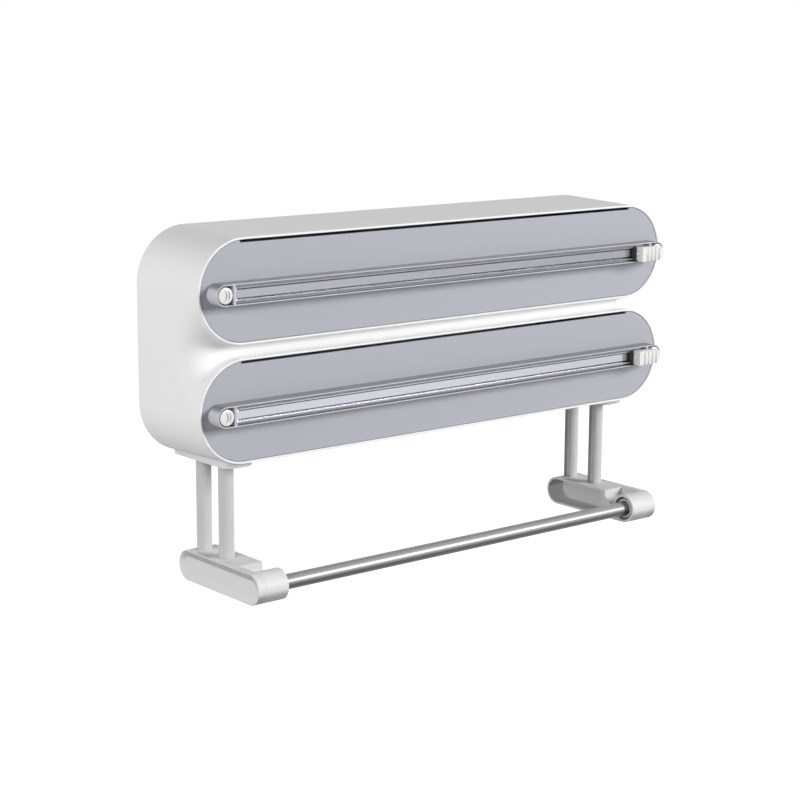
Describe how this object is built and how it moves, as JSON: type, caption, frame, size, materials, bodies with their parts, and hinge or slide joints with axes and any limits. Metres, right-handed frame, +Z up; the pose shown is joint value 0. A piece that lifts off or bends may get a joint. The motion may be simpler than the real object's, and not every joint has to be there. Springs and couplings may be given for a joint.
{
  "type": "wall-mounted wrap dispenser",
  "caption": "Wall-mounted dispenser with pull-out film roll bays, slide cutters on their fronts and a rod for a paper roll on brackets below.",
  "frame": {"origin": "centre of the body's back face, on the wall", "axes": "+Z up, +X to the right as seen from the front, +Y into the wall; the front faces -Y"},
  "size_m": [0.4008, 0.092, 0.2278],
  "materials": {
    "shell": "smooth white, soft gloss",
    "front": "smooth light grey, satin",
    "rail": "light silver grey, glossy",
    "track": "bright, polished",
    "button": "smooth white",
    "dark": "dark grey",
    "inner": "grey, satin",
    "steel": "bright",
    "rod": "polished",
    "magnet": "dull dark grey"
  },
  "bodies": {
    "body": {"front_shell": "shell", "back_plate": "inner", "back_screws": "steel", "catch_magnets": "magnet", "left_bracket_plate": "shell", "right_bracket_plate": "shell", "bracket_screws": "steel", "left_rear_post": "shell", "left_front_post": "shell", "right_rear_post": "shell", "right_front_post": "shell", "left_arm": "shell", "right_arm": "shell", "left_arm_cover": "shell", "right_arm_cover": "shell", "left_rod_cup": "button", "rod_spring": "steel"},
    "right_cup": {"right_rod_cup": "button"},
    "rod": {"paper_rod": "rod", "rod_plugs": "dark"},
    "upper_drawer": {"upper_drawer_front": "front", "upper_roll_tray": "inner", "upper_rail_housing": "rail", "upper_cutter_track": "track", "upper_latch_covers": "inner", "upper_latch_springs": "steel", "upper_button_springs": "steel", "upper_strike_plates": "steel"},
    "upper_cutter": {"upper_cutter_grip": "button", "upper_cutter_foot": "dark", "upper_cutter_blade": "steel"},
    "upper_left_button": {"upper_left_button": "button"},
    "upper_left_latch": {"upper_left_latch": "dark"},
    "upper_right_button": {"upper_right_button": "button"},
    "upper_right_latch": {"upper_right_latch": "dark"},
    "upper_front_roller": {"upper_front_roller": "steel"},
    "upper_rear_roller": {"upper_rear_roller": "steel"},
    "lower_drawer": {"lower_drawer_front": "front", "lower_roll_tray": "inner", "lower_rail_housing": "rail", "lower_cutter_track": "track", "lower_latch_covers": "inner", "lower_latch_springs": "steel", "lower_button_springs": "steel", "lower_strike_plates": "steel"},
    "lower_cutter": {"lower_cutter_grip": "button", "lower_cutter_foot": "dark", "lower_cutter_blade": "steel"},
    "lower_left_button": {"lower_left_button": "button"},
    "lower_left_latch": {"lower_left_latch": "dark"},
    "lower_right_button": {"lower_right_button": "button"},
    "lower_right_latch": {"lower_right_latch": "dark"},
    "lower_front_roller": {"lower_front_roller": "steel"},
    "lower_rear_roller": {"lower_rear_roller": "steel"}
  },
  "joints": [
    {"name": "upper_drawer_slide", "type": "slide", "parent": "body", "child": "upper_drawer", "axis": [0, -1, 0], "range_m": [0, 0.046]},
    {"name": "upper_cutter_slide", "type": "slide", "parent": "upper_drawer", "child": "upper_cutter", "axis": [-1, 0, 0], "range_m": [0, 0.339]},
    {"name": "upper_left_button_press", "type": "slide", "parent": "upper_drawer", "child": "upper_left_button", "axis": [0, 1, 0], "range_m": [0, 0.0018], "stiffness_N_per_m": 300, "springref_m": -0.002},
    {"name": "upper_left_latch_slide", "type": "slide", "parent": "upper_drawer", "child": "upper_left_latch", "axis": [-1, 0, 0], "range_m": [0, 0.0018], "stiffness_N_per_m": 100, "springref_m": -0.002},
    {"name": "upper_right_button_press", "type": "slide", "parent": "upper_drawer", "child": "upper_right_button", "axis": [0, 1, 0], "range_m": [0, 0.0018], "stiffness_N_per_m": 300, "springref_m": -0.002},
    {"name": "upper_right_latch_slide", "type": "slide", "parent": "upper_drawer", "child": "upper_right_latch", "axis": [1, 0, 0], "range_m": [0, 0.0018], "stiffness_N_per_m": 100, "springref_m": -0.002},
    {"name": "upper_front_roller_spin", "type": "hinge", "parent": "upper_drawer", "child": "upper_front_roller", "pos_m": [0, -0.04785, 0.01765], "axis": [1, 0, 0], "continuous": true},
    {"name": "upper_rear_roller_spin", "type": "hinge", "parent": "upper_drawer", "child": "upper_rear_roller", "pos_m": [0, -0.02385, 0.01765], "axis": [1, 0, 0], "continuous": true},
    {"name": "lower_drawer_slide", "type": "slide", "parent": "body", "child": "lower_drawer", "axis": [0, -1, 0], "range_m": [0, 0.046]},
    {"name": "lower_cutter_slide", "type": "slide", "parent": "lower_drawer", "child": "lower_cutter", "axis": [-1, 0, 0], "range_m": [0, 0.339]},
    {"name": "lower_left_button_press", "type": "slide", "parent": "lower_drawer", "child": "lower_left_button", "axis": [0, 1, 0], "range_m": [0, 0.0018], "stiffness_N_per_m": 300, "springref_m": -0.002},
    {"name": "lower_left_latch_slide", "type": "slide", "parent": "lower_drawer", "child": "lower_left_latch", "axis": [-1, 0, 0], "range_m": [0, 0.0018], "stiffness_N_per_m": 100, "springref_m": -0.002},
    {"name": "lower_right_button_press", "type": "slide", "parent": "lower_drawer", "child": "lower_right_button", "axis": [0, 1, 0], "range_m": [0, 0.0018], "stiffness_N_per_m": 300, "springref_m": -0.002},
    {"name": "lower_right_latch_slide", "type": "slide", "parent": "lower_drawer", "child": "lower_right_latch", "axis": [1, 0, 0], "range_m": [0, 0.0018], "stiffness_N_per_m": 100, "springref_m": -0.002},
    {"name": "lower_front_roller_spin", "type": "hinge", "parent": "lower_drawer", "child": "lower_front_roller", "pos_m": [0, -0.04785, -0.05665], "axis": [1, 0, 0], "continuous": true},
    {"name": "lower_rear_roller_spin", "type": "hinge", "parent": "lower_drawer", "child": "lower_rear_roller", "pos_m": [0, -0.02385, -0.05665], "axis": [1, 0, 0], "continuous": true},
    {"name": "right_cup_slide", "type": "slide", "parent": "body", "child": "right_cup", "axis": [1, 0, 0], "range_m": [0, 0.0066], "stiffness_N_per_m": 400, "springref_m": -0.01},
    {"name": "paper_rod_spin", "type": "hinge", "parent": "right_cup", "child": "rod", "pos_m": [0, -0.082, -0.1453], "axis": [1, 0, 0], "continuous": true}
  ],
  "couplings": [
    {"joint": "upper_left_latch_slide", "follows": "upper_left_button_press", "ratio": 1},
    {"joint": "upper_right_latch_slide", "follows": "upper_right_button_press", "ratio": 1},
    {"joint": "lower_left_latch_slide", "follows": "lower_left_button_press", "ratio": 1},
    {"joint": "lower_right_latch_slide", "follows": "lower_right_button_press", "ratio": 1}
  ]
}
